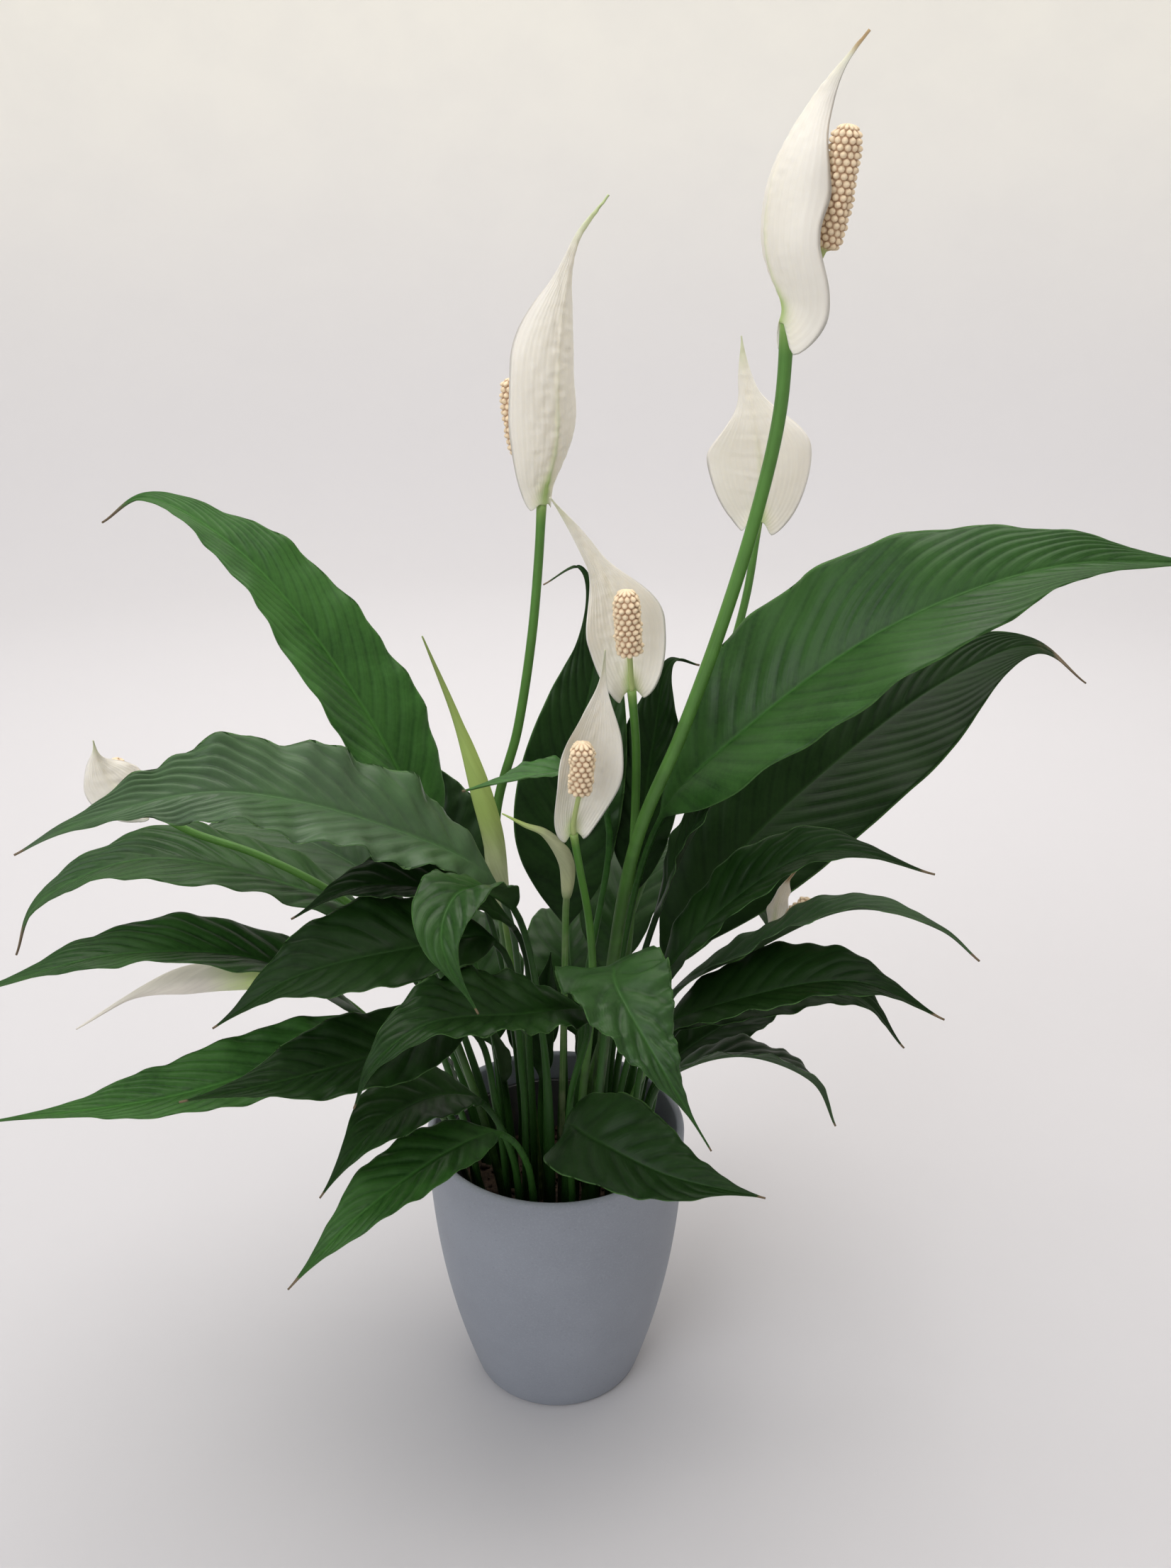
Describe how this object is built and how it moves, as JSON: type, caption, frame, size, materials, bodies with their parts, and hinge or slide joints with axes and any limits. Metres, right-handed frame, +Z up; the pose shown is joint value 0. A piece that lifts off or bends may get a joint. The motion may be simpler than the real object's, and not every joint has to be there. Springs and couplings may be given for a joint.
{
  "type": "potted peace lily",
  "caption": "Leafy peace lily with white hooded flowers, growing in a black nursery pot set inside a tapered matte blue-grey ceramic pot.",
  "frame": {"origin": "centre of the ceramic pot's flat foot, on the surface that it stands on", "axes": "+Z up through the pot, +X to the plant's right as seen from the front, +Y back through the plant"},
  "size_m": [0.6035, 0.3352, 0.7322],
  "materials": {
    "ceramic": "matte glaze, fine grain",
    "black_plastic": "thin moulded, slightly glossy",
    "peat": "crumbly, damp",
    "leaf": "satin, corrugated along the side veins",
    "stalk": "satin",
    "spathe": "soft satin with faint veins",
    "spadix": "knobbly, matte",
    "bud": "satin"
  },
  "bodies": {
    "root": {"bud_closed_left": "spathe", "bud_furled": "bud", "bud_withered": "bud", "decorative_pot": "ceramic", "flower_back_right_scape": "stalk", "flower_back_right_spadix": "spadix", "flower_back_right_spathe": "spathe", "flower_left_tall_scape": "stalk", "flower_left_tall_spadix": "spadix", "flower_left_tall_spathe": "spathe", "flower_left_turned_away_scape": "stalk", "flower_left_turned_away_spadix": "spadix", "flower_left_turned_away_spathe": "spathe", "flower_middle_low_scape": "stalk", "flower_middle_low_spadix": "spadix", "flower_middle_low_spathe": "spathe", "flower_middle_scape": "stalk", "flower_middle_spadix": "spadix", "flower_middle_spathe": "spathe", "flower_right_old_scape": "stalk", "flower_right_old_spadix": "spadix", "flower_right_old_spathe": "spathe", "flower_right_tall_scape": "stalk", "flower_right_tall_spadix": "spadix", "flower_right_tall_spathe": "spathe", "leaf_back": "leaf", "leaf_back_left": "leaf", "leaf_back_left_low": "leaf", "leaf_back_left_upright": "leaf", "leaf_back_right": "leaf", "leaf_back_right_high": "leaf", "leaf_dark_pointed": "leaf", "leaf_dark_short": "leaf", "leaf_front_crinkled": "leaf", "leaf_front_curled": "leaf", "leaf_front_draped": "leaf", "leaf_front_left": "leaf", "leaf_front_left_hanging": "leaf", "leaf_front_right_low": "leaf", "leaf_left_behind": "leaf", "leaf_left_drooping": "leaf", "leaf_left_flat": "leaf", "leaf_left_glossy": "leaf", "leaf_left_lowest": "leaf", "leaf_left_wavy": "leaf", "leaf_middle_dark": "leaf", "leaf_middle_small": "leaf", "leaf_middle_tall": "leaf", "leaf_right_behind": "leaf", "leaf_right_broad": "leaf", "leaf_right_edge_on": "leaf", "leaf_right_folded": "leaf", "leaf_right_long_tip": "leaf", "leaf_right_lowest": "leaf", "leaf_right_middle": "leaf", "leaf_right_slender": "leaf", "leaf_upper_left": "leaf", "leaf_upper_right": "leaf", "nursery_pot": "black_plastic", "soil": "peat"}
  },
  "joints": []
}
